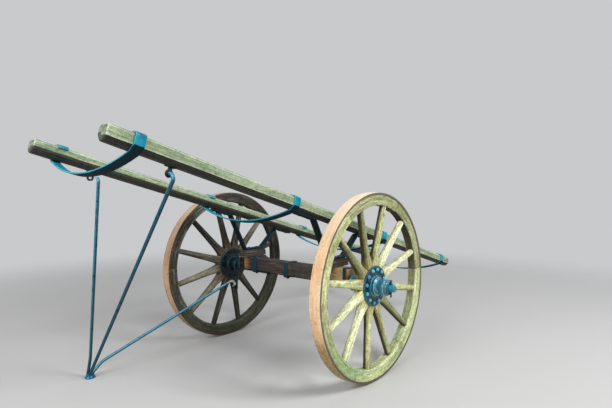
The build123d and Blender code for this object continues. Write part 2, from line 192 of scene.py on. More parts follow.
# wood beneath thin worn paint, with painted shade and highlight in places; the attribute grain holds metres
# along, across and up the piece
def woodFinish(name, look):
    look = madeLinear(look)
    f = Finish(name)
    space = f.place()
    grain = f.attribute("grain", "Vector")
    number = f.attribute("number")
    chance = f.chance(number + look["seed"])
    along, across, up = f.parts(grain)
    shifted = f.vectors("ADD", grain, f.vector(chance * 9, chance * 3, number * 0.7))
    broad = f.cloud(shifted, (2.2, 9, 9), 4, 0.6)
    streak = f.cloud(shifted, (5, 75, 75), 5, 0.62, 0.4)
    fine = f.cloud(shifted, (24, 150, 150), 4, 0.7)
    mottle = f.cloud(space, 62, 5, 0.75)
    spots = f.cloud(space, 42, 4, 0.7)
    f.colour = f.mix(broad.between(0.34, 0.66), look["base"], look["second"])
    f.over(streak.between(0.46, 0.72) * look["streaks"], look["streak"])
    f.over(streak.between(0.5, 0.3) * look["bleach"], look["pale"])
    stain = f.cloud(shifted, (7, 16, 16), 5, 0.68) + spots * 0.25
    f.over(stain.between(0.66, 0.84) * look["stains"], look["stain"])
    lines = f.cloud(f.mapped(shifted, (3.5, 60, 60), (0, 0, 0.02)), 1.0, 2, 0.5, 0.8)
    check = abs(lines - 0.5).between(0.014, 0.003) * f.cloud(shifted, 6, 2).between(0.48, 0.62)
    f.over(check * look["checks"], look["dark"])
    # paler arrises: worn paint and painted highlight
    wear = (f.attribute("edge") * 1.25 - spots * 0.9).between(0.1, 0.6)
    f.over(wear * look["wear"], look["worn"])
    f.over(f.cloud(space, 125, 3, 0.65).between(0.59, 0.68) * look["specks"], look["dark"])
    if "moss" in look:
        f.over(f.attribute("moss") * broad.between(0.3, 0.62) * 0.8, look["moss"])
    if "ochre" in look:
        ochre = f.attribute("ochre")
        if "ochreFrom" in look:
            ochre = abs(along).between(look["ochreFrom"], look["ochreFrom"] + 0.12)
        f.over(ochre * (broad * 1.4 + 0.1).clamp() * look["ochreAmount"], look["ochre"])
    if "shade" in look:  # wheels: painted highlight on the spokes' lit sides, painted shade on their shaded flanks and on the felloes' inner faces
        f.over(f.attribute("dry") * (streak.between(0.62, 0.4) * 0.6 + 0.4), look["worn"])
        shade = f.attribute("shade")
        shade = (shade + (broad - 0.5) * 0.35 * shade).clamp()
        shadeBrown = f.mix(streak.between(0.4, 0.65), look["shade"], look["shadeStreak"])
        f.over(shade * look["shadeAmount"], shadeBrown)
    if "under" in look:  # painted shade below a line that is lower on the outer face than on the inner one
        outwards = across * number > 0.0
        line = outwards * (look["outerLine"] - look["innerLine"]) + look["innerLine"]
        low = (line - up + (streak - 0.5) * 0.005).between(-0.0008, 0.0016)
        paintedShade = f.mix(streak.between(0.42, 0.66), look["under"], look["underShadeStreak"])
        f.over(low * look["underShadeAmount"], paintedShade)
    if "endColour" in look:  # end grain
        ends = abs(along - look["endMiddle"]).between(look["endReach"] - 0.004, look["endReach"])
        rings = f.cloud(f.mapped(grain, (0.2, 160, 26), (0.2, 0, 0)), 1.0, 3, 0.6, 1.2).between(0.35, 0.65)
        f.over(ends * (rings * 0.55 + 0.4), look["endColour"])
    tone = (chance - 0.5) * look["spread"] + 1 + f.attribute("tone")
    bright = ((fine - 0.5) * look["contrast"] + (mottle - 0.5) * look["contrast"] + 1) * tone
    f.over(1.0, f.vector(bright, bright, bright), "MULTIPLY")
    rough = (0.7 + (spots - 0.5) * 0.25 - wear * 0.12).clamp()
    relief = streak * 0.8 + fine * 0.5 + mottle * 0.3 - check * 1.6
    return f.surface({"Base Color": f.colour, "Roughness": rough, "Normal": f.bump(relief, 0.0018, 0.85),
                      "Specular IOR Level": 0.25})


ironDefaults = {"stretchUp": 1.0, "underShadeAmount": 0.96, "relief": 0.5, "specular": 0.25, "coat": 0.0}
underShadeColour = (0.003, 0.009, 0.012)


# brushed paint on forged iron, thin and paler at the edges as wear and painted highlight, with chips down to
# rust; faces turned down get painted shade
def ironFinish(name, look):
    look = madeLinear({**ironDefaults, **look})
    f = Finish(name)
    space, edge = f.place(), f.attribute("edge")
    broad = f.cloud(f.mapped(space, (1, 1, look["stretchUp"])), 9, 4, 0.6)
    patch = f.cloud(space, 26, 5, 0.65)
    speck = f.cloud(space, 120, 4, 0.7)
    f.colour = f.mix(broad.between(0.36, 0.66), look["base"], look["second"])
    f.over(patch.between(0.58, 0.74) * look["fadeAmount"], look["fade"])
    # paler edges: paint worn thin, and painted highlight
    wear = (edge * 1.1 + (patch - 0.5) * 1.1).between(0.72, 1.05)
    f.over(wear * look["wear"], look["worn"])
    chips = (patch * 0.6 + speck * 0.5 + edge * 0.06).between(0.655, 0.675) * look["chips"]
    f.over(chips, look["rust"])
    dirt = f.cloud(f.mapped(space, shift=(3, 1, 2)), 17, 5, 0.7).between(0.55, 0.75)
    f.over(dirt * look["dirtAmount"], look["dirt"])
    # painted shade on faces turned down
    under = (f.attribute("under") + (patch - 0.5) * 0.15).between(0.06, 0.28)
    f.over(under * look["underShadeAmount"], underShadeColour)
    if "tip" in look:
        f.over(f.attribute("tip") * (1 - dirt * 0.5), look["tip"])
    rough = (look["roughness"] + (patch - 0.5) * 0.25 + chips * 0.35 + dirt * 0.15 + under * 0.5).clamp()
    relief = patch * 0.5 + speck * 0.25 - chips * 0.5
    return f.surface({"Base Color": f.colour, "Roughness": rough, "Specular IOR Level": look["specular"],
                      "Normal": f.bump(relief, 0.0012, look["relief"]), "Coat Roughness": 0.15,
                      "Coat Weight": (1 - under) * look["coat"]})


# the tyre: streaks run round the tread, its sides are darker, it is paler towards the top and darker towards
# the bottom
def tyreFinish(name, look):
    look = madeLinear(look)
    f = Finish(name)
    space = f.place()
    centred = f.vectors("SUBTRACT", space, (axleX, 0, axleZ))
    across = f.parts(centred)[1]
    forwards, _, height = f.parts(f.vectors("NORMALIZE", f.vectors("MULTIPLY", centred, (1, 0, 1))))
    lines = f.cloud(f.vector(forwards * 2.6, across * 46, height * 2.6), 1.0, 5, 0.6)
    broad = f.cloud(space, 5.5, 4, 0.6)
    speck = f.cloud(space, 62, 5, 0.75)
    f.colour = f.mix(broad.between(0.38, 0.62), look["base"], look["second"])
    f.over(lines.between(0.5, 0.7) * 0.65, look["pale"])
    f.over(lines.between(0.48, 0.3) * 0.55, look["rust"])
    f.over((speck * 0.7 + broad * 0.3).between(0.52, 0.64) * 0.6, look["rust"])
    f.over(f.cloud(space, 130, 2, 0.6).between(0.6, 0.68) * 0.5, look["lowSpeck"])
    f.over((height + (broad - 0.5) * 0.5).between(0.35, 0.9) * 0.6, look["pale"])
    low = (height * -1 + (broad - 0.5) * 0.7).between(0.05, 0.7)
    f.over(low * 0.8, f.mix(speck.between(0.42, 0.6), look["low"], look["lowSpeck"]))
    side = f.attribute("side").between(0.25, 0.75)
    f.over(side * 0.92, f.mix(speck.between(0.4, 0.65), look["side"], look["sideRust"]))
    return f.surface({"Base Color": f.colour, "Roughness": (0.62 + (speck - 0.5) * 0.3).clamp(),
                      "Normal": f.bump(lines * 0.6 + speck * 0.5, 0.0012, 0.6), "Specular IOR Level": 0.4})


# geometry trees, with named inputs and a material at the end
class Growth(Web):
    def __init__(self, name, inputs):
        super().__init__(bpy.data.node_groups.new(name, "GeometryNodeTree"))
        self.identifiers = {}
        for label, kind in {"Geometry": "Geometry", **inputs, "Finish": "Material"}.items():
            socket = self.socket(label, "INPUT", kind)
            self.identifiers[label] = socket.identifier
        self.socket("Geometry", "OUTPUT", "Geometry")
        self.given = self.add("NodeGroupInput")

    def socket(self, label, direction, kind):
        return self.tree.interface.new_socket(name=label, in_out=direction, socket_type="NodeSocket" + kind)

    def value(self, label):
        return self.given.out(label)

    def items(self, points, instance, rotation):
        sockets = {"Points": points, "Instance": instance, "Rotation": rotation}
        return self.add("GeometryNodeInstanceOnPoints", sockets)

    def real(self, geometry):
        return self.add("GeometryNodeRealizeInstances", {"Geometry": geometry})

    def moved(self, geometry, shift):
        return self.add("GeometryNodeTransform", {"Geometry": geometry, "Translation": shift})

    def stored(self, geometry, domain, name, value):
        sockets = {"Geometry": geometry, "Name": name, "Value": value}
        return self.add("GeometryNodeStoreNamedAttribute", sockets, data_type="FLOAT", domain=domain)

    def end(self, geometry):
        sockets = {"Geometry": self.real(geometry), "Material": self.value("Finish")}
        self.add("NodeGroupOutput", {0: self.add("GeometryNodeSetMaterial", sockets)})


def plainMesh(source):  # what an object's modifier makes of it
    return bpy.data.meshes.new_from_object(source.evaluated_get(bpy.context.evaluated_depsgraph_get()))


def placed(name, mesh):  # an object in the scene, smooth but for its creases
    mesh.name = name
    mesh.shade_smooth()
    mesh.set_sharp_from_angle(angle=creaseAngle)
    piece = bpy.data.objects.new(name, mesh)
    collection.objects.link(piece)
    return piece


def grown(name, source, growth, finish, values):  # runs a tree over an object and keeps the plain mesh
    modifier = source.modifiers.new(growth.tree.name, "NODES")
    modifier.node_group = growth.tree
    for label, value in {**values, "Finish": finish}.items():
        modifier[growth.identifiers[label]] = value
    mesh = plainMesh(source)
    source.modifiers.remove(modifier)
    bpy.data.objects.remove(source)
    return placed(name, mesh)


def sweptTree():  # a bar with soft arrises along a curve; each point's radius is its bend
    g = Growth("sweptBar", {"Width": "Float", "Thickness": "Float", "Round": "Float", "Steps": "Int",
                            "Face": "Vector"})
    width, thickness, rounding = g.value("Width"), g.value("Thickness"), g.value("Round")
    bends = {"Curve": g.value("Geometry"), "Radius": g.add("GeometryNodeInputRadius"), "Limit Radius": True,
             "Count": 8}
    line = g.add("GeometryNodeFilletCurve", bends, mode="POLY")
    line = g.add("GeometryNodeSetCurveRadius", {"Curve": line, "Radius": 1.0})
    line = g.add("GeometryNodeSetCurveNormal", {"Curve": line, "Normal": g.value("Face")}, mode="FREE")
    section = g.add("GeometryNodeCurvePrimitiveQuadrilateral", {"Width": width, "Height": thickness})
    section = g.add("GeometryNodeFilletCurve", {"Curve": section, "Radius": rounding,
                                                "Count": g.value("Steps")}, mode="POLY")
    x, y, _ = g.parts(g.add("GeometryNodeInputPosition"))
    inside = rounding * 0.92
    atSide = abs(x) > (width * 0.5 - inside)
    atFace = abs(y) > (thickness * 0.5 - inside)
    section = g.stored(section, "POINT", "edge", atSide * atFace)
    g.end(g.add("GeometryNodeCurveToMesh", {"Curve": line, "Profile Curve": section, "Fill Caps": True}))
    return g


def ringTree():  # one mesh repeated round the axle's line
    g = Growth("ringOfItems", {"Count": "Int", "First": "Float", "Centre": "Vector"})
    index = g.add("GeometryNodeInputIndex")
    points = g.add("GeometryNodePoints", {"Count": g.value("Count")})
    step = g.add("ShaderNodeMath", {0: 2 * math.pi, 1: g.value("Count")}, operation="DIVIDE")
    rotation = g.add("FunctionNodeEulerToRotation", {0: g.vector(y=g.value("First") + index * step)})
    items = g.stored(g.items(points, g.value("Geometry"), rotation), "INSTANCE", "number", index)
    g.end(g.moved(g.real(items), g.value("Centre")))
    return g


def headTree():  # bolt heads, nuts and rivets standing on points, each aimed by its point
    g = Growth("heads", {"Across": "Float", "Height": "Float", "Sides": "Int", "Shoulder": "Float",
                         "Crown": "Float", "Stud": "Float"})
    radius, height, sides = g.value("Across") * 0.5, g.value("Height"), g.value("Sides")
    shoulder = height * g.value("Shoulder")
    # sides, lower and upper radius, height and lift of the head's body, its crown and the stud's end
    cones = ((sides, radius, radius, shoulder, 0.0),
             (sides, radius, radius * g.value("Crown"), height - shoulder, shoulder),
             (12, radius * 0.5, radius * 0.42, height * g.value("Stud") + 0.0001, 0.0))
    head = g.add("GeometryNodeJoinGeometry")
    for count, low, high, depth, lift in cones:
        sockets = {"Vertices": count, "Radius Top": high, "Radius Bottom": low, "Depth": depth}
        cone = g.add("GeometryNodeMeshCone", sockets, fill_type="NGON").out("Mesh")
        g.tree.links.new(g.moved(cone, g.vector(z=lift)).socket, head.socket.node.inputs[0])
    aim = g.add("GeometryNodeInputNamedAttribute", {"Name": "aim"}, data_type="FLOAT_VECTOR")
    rotation = g.add("FunctionNodeAlignRotationToVector", {"Vector": aim}, axis="Z")
    g.end(g.items(g.value("Geometry"), head, rotation))
    return g


swept, ring, heads = sweptTree(), ringTree(), headTree()
print("geometry trees ready")


def clamped(value, low=0.0, high=1.0):
    return max(low, min(high, value))


def camel(nodeName):  # foot_block_left gives footBlockLeft
    first, *others = nodeName.split("_")
    return first + "".join(word.capitalize() for word in others)


def tidied(mesh, merge=False):  # turns every face outwards; merge makes doubled points one before that
    work = bmesh.new()
    work.from_mesh(mesh)
    if merge:
        bmesh.ops.remove_doubles(work, verts=work.verts, dist=mergeDistance)
    bmesh.ops.recalc_face_normals(work, faces=work.faces)
    work.to_mesh(mesh)
    work.free()


def meshPiece(name, vertices, faces, attributes):
    mesh = bpy.data.meshes.new(name)
    mesh.from_pydata(vertices, [], faces)
    for label, values in attributes.items():
        isVector = isinstance(values[0], (tuple, Vector))
        layer = mesh.attributes.new(label, "FLOAT_VECTOR" if isVector else "FLOAT", "POINT")
        flat = [c for value in values for c in value] if isVector else values
        layer.data.foreach_set("vector" if isVector else "value", flat)
    tidied(mesh)
    return placed(name, mesh)


def setValues(piece, label, values):
    piece.data.attributes.new(label, "FLOAT", "POINT").data.foreach_set("value", values)


def dress(piece, body, finish, slotName, *replaced):
    if not body.startswith("wheel"):  # painted shade on what faces down
        setValues(piece, "under", [max(0.0, -n.vector.z) for n in piece.data.vertex_normals])
    piece.data.materials.clear()
    piece.data.materials.append(finish)
    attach(piece, body)
    if replaced:
        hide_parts(*replaced)
    return piece


def skin(rings, count, base=0, caps=True, closed=False):  # faces between rings of count points each
    faces = []
    for q in range(rings if closed else rings - 1):
        here, there = base + q * count, base + (q + 1) % rings * count
        for i in range(count):
            j = (i + 1) % count
            faces.append((here + i, here + j, there + j, there + i))
    if caps:
        faces += [tuple(range(base + q * count, base + (q + 1) * count)) for q in (0, rings - 1)]
    return faces


def stationsBetween(low, high, endSteps, inside):
    # endSteps: distance from an end and inset there; gives place and inset all along
    first, last = low + endSteps[-1][0], high - endSteps[-1][0]
    stations = [(low + step, inset) for step, inset in endSteps]
    stations += [(first + (last - first) * i / inside, 0.0) for i in range(1, inside)]
    return stations + [(high - step, inset) for step, inset in reversed(endSteps)]


def bentBar(name, finish, points, bends, face, width, thickness, rounding, steps=3, closed=False):
    data = bpy.data.curves.new(name, "CURVE")
    data.dimensions = "3D"
    spline = data.splines.new("POLY")
    spline.points.add(len(points) - 1)
    for point, place, bend in zip(spline.points, points, bends):
        point.co = (*place, 1)
        point.radius = bend
    spline.use_cyclic_u = closed
    source = bpy.data.objects.new(name, data)
    collection.objects.link(source)
    return grown(name, source, swept, finish, {"Width": width, "Thickness": thickness, "Round": rounding,
                                               "Steps": steps, "Face": tuple(face)})


def barPiece(nodeName, body, finish, slotName, *shape, steps=3):
    return dress(bentBar(camel(nodeName), finish, *shape, steps), body, finish, slotName, nodeName)


headLooks = {
    "braceBolts": {"Across": 0.021, "Height": 0.005, "Sides": 18, "Shoulder": 0.4, "Crown": 0.62},
    "strapNuts": {"Across": 0.020, "Height": 0.008, "Sides": 6, "Shoulder": 0.75, "Crown": 0.88},
    "lugNuts": {"Across": 0.022, "Height": 0.010, "Sides": 6, "Shoulder": 0.75, "Crown": 0.88, "Stud": 1.5},
    "bandRivets": {"Across": 0.015, "Height": 0.0045, "Sides": 14, "Shoulder": 0.35, "Crown": 0.6},
    "rivetSingle": {"Across": 0.022, "Height": 0.011, "Sides": 20, "Shoulder": 0.35, "Crown": 0.5},
}


def headsOn(name, finish, spots):  # spots: place and direction of each
    places, aims = zip(*spots)
    source = meshPiece(name + "Spots", places, [], {"aim": [tuple(aim) for aim in aims]})
    return grown(name, source, heads, finish, {"Stud": 0.0, **headLooks[name]})


def headPiece(name, finish, slotName, spots):
    dress(headsOn(name, finish, spots), "cart", finish, slotName)


def roundedLoop(corners, support, steps):
    # corners: x, y, radius; gives x, y, edge with a support point on each side of a corner
    loop = []
    count = len(corners)
    for i, (x, y, radius) in enumerate(corners):
        here = Vector((x, y))
        before = (Vector(corners[i - 1][:2]) - here).normalized()
        after = (Vector(corners[(i + 1) % count][:2]) - here).normalized()
        half = math.acos(clamped(before.dot(after), -1, 1)) / 2
        reach = radius / math.tan(half)
        start, end = here + before * reach, here + after * reach
        loop.append((*(start + before * support), 0.0))
        for step in range(steps + 1):
            t = step / steps
            bezier = start * (1 - t) ** 2 + here * 2 * t * (1 - t) + end * t ** 2
            loop.append((*bezier, 1.0))
        loop.append((*(end + after * support), 0.0))
    return loop


def softened(nodeName, finish, slotName, bevel, grainAxes=None):  # the solid itself with soft arrises
    name = camel(nodeName)
    work = bmesh.new()
    work.from_mesh(nodes[nodeName].data)
    bmesh.ops.remove_doubles(work, verts=work.verts, dist=mergeDistance)
    bmesh.ops.dissolve_limit(work, angle_limit=flatAngle, verts=work.verts, edges=work.edges)
    mesh = bpy.data.meshes.new(name)
    work.to_mesh(mesh)
    work.free()
    rough = bpy.data.objects.new(name + "Rough", mesh)
    collection.objects.link(rough)
    modifier = rough.modifiers.new("soft", "BEVEL")
    modifier.width = bevel
    modifier.segments = 2
    modifier.limit_method = "ANGLE"
    modifier.angle_limit = bevelAngle
    modifier.use_clamp_overlap = True
    done = plainMesh(rough)
    bpy.data.objects.remove(rough)
    if grainAxes:
        layer = done.attributes.new("grain", "FLOAT_VECTOR", "POINT")
        middle = sum((v.co for v in done.vertices), Vector()) / len(done.vertices)
        values = [(v.co - middle).dot(Vector(axis)) for v in done.vertices for axis in grainAxes]
        layer.data.foreach_set("vector", values)
    return dress(placed(name, done), "cart", finish, slotName, nodeName)


# finishes; every tuple is a colour in sRGB, 0 to 255
railWood = woodFinish("railWood", {
    "seed": 3.0, "base": (152, 166, 133), "second": (125, 143, 112), "streak": (92, 106, 82),
    "pale": (204, 212, 186), "stain": (126, 128, 92), "dark": (54, 54, 42), "worn": (206, 216, 190),
    "streaks": 0.55, "bleach": 0.45, "stains": 0.5, "checks": 0.85, "wear": 0.7, "specks": 0.3,
    # the rails' painted shade: its colours and the heights of its line
    "under": (24, 21, 20), "underShadeStreak": (52, 44, 38), "underShadeAmount": 0.95, "outerLine": -0.0125,
    "innerLine": 0.0, "endMiddle": -0.1135, "endReach": 1.6265, "endColour": (74, 88, 68), "spread": 0.06,
    "contrast": 1.6,
})
wheelWood = woodFinish("wheelWood", {
    "seed": 11.0, "base": (202, 206, 152), "second": (170, 174, 118), "streak": (110, 104, 60),
    "pale": (228, 233, 198), "stain": (146, 118, 64), "dark": (62, 48, 30), "worn": (232, 234, 208),
    "streaks": 0.7, "bleach": 0.6, "stains": 0.55, "checks": 0.9, "wear": 0.6, "specks": 0.7, "contrast": 2.1,
    "ochre": (150, 116, 60), "ochreAmount": 0.6, "moss": (134, 172, 124), "shade": (32, 25, 19),
    "shadeStreak": (74, 54, 32), "shadeAmount": 0.95, "spread": 0.1,
})
# a darker copy of the wheels' wood for the far wheel: painted shade
shadedWood = woodFinish("farWheelWood", {
    "seed": 29.0, "base": (64, 60, 53), "second": (44, 41, 37), "streak": (30, 26, 22),
    "pale": (142, 144, 130), "stain": (80, 60, 38), "dark": (16, 14, 12), "worn": (128, 124, 106),
    "streaks": 0.7, "bleach": 0.55, "stains": 0.6, "checks": 0.9, "wear": 0.55, "specks": 0.5,
    "contrast": 2.3, "ochre": (96, 66, 34), "ochreAmount": 0.6, "moss": (64, 70, 50), "shade": (22, 18, 14),
    "shadeStreak": (46, 36, 24), "shadeAmount": 0.85, "spread": 0.14,
})
beamWood = woodFinish("beamWood", {
    "seed": 17.0, "base": (66, 58, 52), "second": (46, 44, 44), "streak": (26, 23, 22),
    "pale": (116, 104, 88), "stain": (120, 84, 50), "dark": (14, 12, 11), "worn": (132, 124, 108),
    "streaks": 0.8, "bleach": 0.45, "stains": 0.35, "checks": 0.95, "wear": 0.55, "specks": 0.4,
    "contrast": 1.7, "ochre": (184, 152, 102), "ochreAmount": 0.85, "ochreFrom": 0.34, "spread": 0.1,
})
bandPaint = ironFinish("bandPaint", {
    "base": (0, 120, 146), "second": (6, 156, 178), "fade": (60, 198, 208), "fadeAmount": 0.6,
    "worn": (110, 206, 212), "wear": 0.75, "rust": (24, 26, 30), "chips": 0.9,
    "dirt": (2, 36, 54), "dirtAmount": 0.65, "roughness": 0.42, "coat": 0.08, "specular": 0.18,
})
darkPaint = ironFinish("darkPaint", {
    "base": (2, 20, 32), "second": (4, 32, 46), "fade": (10, 60, 78), "fadeAmount": 0.35,
    "worn": (44, 100, 114), "wear": 0.5, "rust": (40, 26, 22), "chips": 0.9,
    "dirt": (12, 18, 20), "dirtAmount": 0.6, "roughness": 0.45, "coat": 0.05, "specular": 0.18,
    "tip": (44, 124, 140),
})
hubPaint = ironFinish("hubPaint", {
    "base": (0, 24, 44), "second": (2, 42, 66), "fade": (8, 92, 124), "fadeAmount": 0.35,
    "worn": (60, 150, 172), "wear": 0.8, "rust": (10, 16, 22), "chips": 0.5,
    "dirt": (0, 10, 18), "dirtAmount": 0.7, "roughness": 0.26, "coat": 0.3, "relief": 0.6, "specular": 0.2,
})
# its pale patches and edges are faded and worn paint and also painted highlight
nosePaint = ironFinish("nosePaint", {
    "base": (0, 58, 86), "second": (8, 108, 134), "fade": (160, 230, 228), "fadeAmount": 0.85,
    "worn": (130, 214, 214), "wear": 0.5, "rust": (4, 12, 20), "chips": 0.8,
    "dirt": (0, 10, 20), "dirtAmount": 0.95, "roughness": 0.2, "coat": 1.0, "relief": 0.7, "specular": 0.5,
})
# rivets painted far paler than the flange: painted highlight
rivetPaint = ironFinish("rivetPaint", {
    "base": (60, 150, 172), "second": (110, 190, 204), "fade": (190, 236, 236), "fadeAmount": 0.6,
    "worn": (200, 240, 238), "wear": 0.6, "rust": (20, 50, 64), "chips": 0.4,
    "dirt": (4, 50, 72), "dirtAmount": 0.6, "roughness": 0.2, "coat": 0.6,
})
# a darker copy of the hub paint for the far wheel: painted shade
farHubPaint = ironFinish("farHubPaint", {
    "base": (2, 14, 22), "second": (4, 22, 34), "fade": (10, 44, 58), "fadeAmount": 0.35,
    "worn": (34, 80, 92), "wear": 0.6, "rust": (30, 24, 22), "chips": 0.7,
    "dirt": (6, 10, 12), "dirtAmount": 0.7, "roughness": 0.4, "coat": 0.1,
})
sootIron = ironFinish("sootIron", {
    "base": (16, 20, 24), "second": (26, 28, 30), "fade": (40, 48, 52), "fadeAmount": 0.4,
    "worn": (74, 86, 88), "wear": 0.5, "rust": (46, 32, 26), "chips": 0.9,
    "dirt": (14, 12, 12), "dirtAmount": 0.6, "roughness": 0.5,
})
rodPaint = ironFinish("rodPaint", {
    "base": (0, 72, 112), "second": (0, 108, 150), "fade": (30, 170, 200), "fadeAmount": 0.45,
    "worn": (120, 196, 206), "wear": 0.5, "rust": (40, 32, 30), "chips": 0.6, "stretchUp": 0.2,
    "dirt": (2, 22, 36), "dirtAmount": 0.55, "roughness": 0.24, "coat": 0.35, "specular": 0.18,
    "tip": (140, 146, 134), "underShadeAmount": 0.75,
})
strapPaint = ironFinish("strapPaint", {
    "base": (2, 34, 48), "second": (4, 54, 68), "fade": (12, 96, 110), "fadeAmount": 0.4,
    "worn": (70, 150, 158), "wear": 0.5, "rust": (40, 30, 26), "chips": 0.8,
    "dirt": (4, 18, 26), "dirtAmount": 0.6, "roughness": 0.36, "coat": 0.12, "specular": 0.18,
})
tyreIron = tyreFinish("tyreIron", {
    "base": (240, 200, 156), "second": (226, 182, 138), "pale": (236, 224, 198), "rust": (190, 130, 90),
    "low": (150, 130, 76), "lowSpeck": (88, 76, 44), "side": (66, 70, 62), "sideRust": (96, 78, 58),
})
# a darker copy of the tyre for the far wheel: painted shade
farTyreIron = tyreFinish("farTyreIron", {
    "base": (196, 158, 124), "second": (176, 138, 104), "pale": (206, 186, 158), "rust": (138, 98, 68),
    "low": (160, 124, 78), "lowSpeck": (96, 80, 54), "side": (40, 38, 34), "sideRust": (62, 50, 38),
})
print("finishes ready")

# rails
rail = {
    "tilt": 15.4, "overAxle": 0.375, "spacing": 0.757, "width": 0.078, "height": 0.072,
    "front": 1.513, "rear": 1.740, "topChamfer": 0.008, "bottomChamfer": 0.024, "endChamfer": 0.009,
    "arris": 0.0035, "support": 0.0022, "endArris": 0.0012, "stations": 150, "unevenness": 0.0012,
    "nickDepth": 0.006,
}
railCos = math.cos(math.radians(rail["tilt"]))
railSin = math.sin(math.radians(rail["tilt"]))
alongRail = Vector((railCos, 0, railSin))
upRail = Vector((-railSin, 0, railCos))
halfWidth, halfHeight = rail["width"] / 2, rail["height"] / 2
railY = rail["spacing"] / 2


def onRail(place, across=0.0, up=0.0):
    return Vector((axleX, across, axleZ + rail["overAxle"])) + alongRail * place + upRail * up


def railPiece(side, sign):
    top, bottom = rail["topChamfer"], rail["bottomChamfer"]
    half = [(halfWidth - top, halfHeight), (halfWidth, halfHeight - top), (halfWidth, bottom - halfHeight),
            (halfWidth - bottom, -halfHeight)]
    corners = half + [(-x, y) for x, y in reversed(half)]
    loop = roundedLoop([(x, y, rail["arris"]) for x, y in corners], rail["support"], 2)
    chamfer = rail["endChamfer"]
    arris = rail["endArris"]
    endSteps = [(0.0, chamfer), (arris, chamfer * 0.72), (chamfer * 0.45, chamfer * 0.36),
                (chamfer * 0.85, arris), (chamfer * 1.5, 0.0)]
    stations = stationsBetween(-rail["rear"], rail["front"], endSteps, rail["stations"])
    vertices, grain, edges = [], [], []
    for place, inset in stations:
        for x, y, edge in loop:
            worn = noise.noise(Vector((place * 6 + sign * 7, x * 30, y * 30)))
            nick = max(0.0, noise.noise(Vector((place * 21 + sign, x * 12, y * 12))) - 0.35) * edge
            lost = rail["unevenness"] * (0.5 + 0.5 * worn) + nick * rail["nickDepth"]
            shrink = 1 - lost / halfWidth - inset / halfWidth
            vertices.append(onRail(place, sign * railY + x * shrink, y * shrink))
            grain.append((place, x * shrink, y * shrink))
            edges.append(edge if inset < chamfer * 0.3 else 1.0)
    piece = meshPiece(camel(f"rail_{side}_wood"), vertices, skin(len(stations), len(loop)),
                      {"grain": grain, "edge": edges, "number": [float(sign)] * len(vertices)})
    dress(piece, "cart", railWood, "rail_wood", f"rail_{side}")


for side, sign in sideSigns.items():
    railPiece(side, sign)
print("rails ready")

# sling bands
band = {
    "places": (1.380, 0.420, -0.555, -1.570), "width": 0.048, "thickness": 0.008, "lap": 0.010,
    "drop": 0.114, "rounding": 0.0016, "topBend": 0.0125, "sideBend": 0.011, "arcPoints": 18,
    "rivetShift": 0.014,
}


def bandPiece(number, place):
    thick = band["thickness"]
    outer, inner = railY + halfWidth + thick / 2, railY - halfWidth - thick / 2
    top = halfHeight + thick / 2
    chamfer = rail["bottomChamfer"]
    startX, startY = railY + halfWidth - chamfer, -halfHeight
    slingAngle = 2 * math.atan2(band["drop"] - halfHeight, startX)
    slant = (math.radians(45) + slingAngle) / 2
    reach = thick / 2 / math.cos((math.radians(45) - slingAngle) / 2)
    bendX, bendY = startX + math.sin(slant) * reach, startY - math.cos(slant) * reach
    half = [(inner, halfHeight - band["lap"], 0), (inner, top, band["topBend"]),
            (outer, top, band["topBend"]),
            (outer, chamfer - halfHeight - thick / 2 * math.tan(math.radians(22.5)), band["sideBend"]),
            (bendX, bendY, band["sideBend"])]
    lowest = -band["drop"] - thick / 2
    rise = bendY - lowest
    radius = (bendX ** 2 + rise ** 2) / (2 * rise)
    sweep = math.asin(bendX / radius)
    count = band["arcPoints"]
    turns = [sweep * (1 - 2 * i / count) for i in range(1, count)]
    arc = [(radius * math.sin(a), lowest + radius * (1 - math.cos(a)), 0.0) for a in turns]
    line = half + arc + [(-x, y, bend) for x, y, bend in reversed(half)]
    points = [onRail(place, x, y) for x, y, _ in line]
    barPiece(f"sling_band_{number}", "cart", bandPaint, "band_iron", points, [bend for _, _, bend in line],
             alongRail, band["width"], thick, band["rounding"])


for number, place in enumerate(band["places"], start=1):
    bandPiece(number, place)
print("sling bands ready")

# braces from the foot blocks up to the rails
brace = {
    "width": 0.046, "thickness": 0.012, "bend": 0.014, "rounding": 0.0018, "footLength": 0.074,
    "plateLength": 0.160, "footGap": 0.006, "legs": {"front": (0.212, 1), "rear": (-0.250, -1)},
    "plateBoltShares": (0.3, 0.78), "footBoltShare": 0.45,
}
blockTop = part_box("foot_block_left")[1].z
footBolts = []
plateBolts = []
for side, sign in sideSigns.items():
    for leg, (place, way) in brace["legs"].items():
        thick = brace["thickness"]
        y = sign * railY
        gap, length = brace["footGap"], brace["footLength"]
        points = [(axleX + way * gap, y, blockTop + thick / 2),
                  (axleX + way * (gap + length), y, blockTop + thick / 2),
                  onRail(place, y, -halfHeight - thick / 2),
                  onRail(place + way * brace["plateLength"], y, -halfHeight - thick / 2)]
        barPiece(f"brace_{side}_{leg}", "cart", darkPaint, "band_iron", points,
                 [0, brace["bend"], brace["bend"], 0], (0, 1, 0), brace["width"], thick, brace["rounding"])
        for share in brace["plateBoltShares"]:
            along = place + way * brace["plateLength"] * share
            plateBolts.append((onRail(along, y, -halfHeight - thick), -upRail))
            plateBolts.append((onRail(along, y, halfHeight), upRail))
        footBoltX = axleX + way * (gap + length * brace["footBoltShare"])
        footBolts.append(((footBoltX, y, blockTop + thick), (0, 0, 1)))
headPiece("braceBolts", darkPaint, "band_iron", plateBolts + footBolts)
print("braces ready")

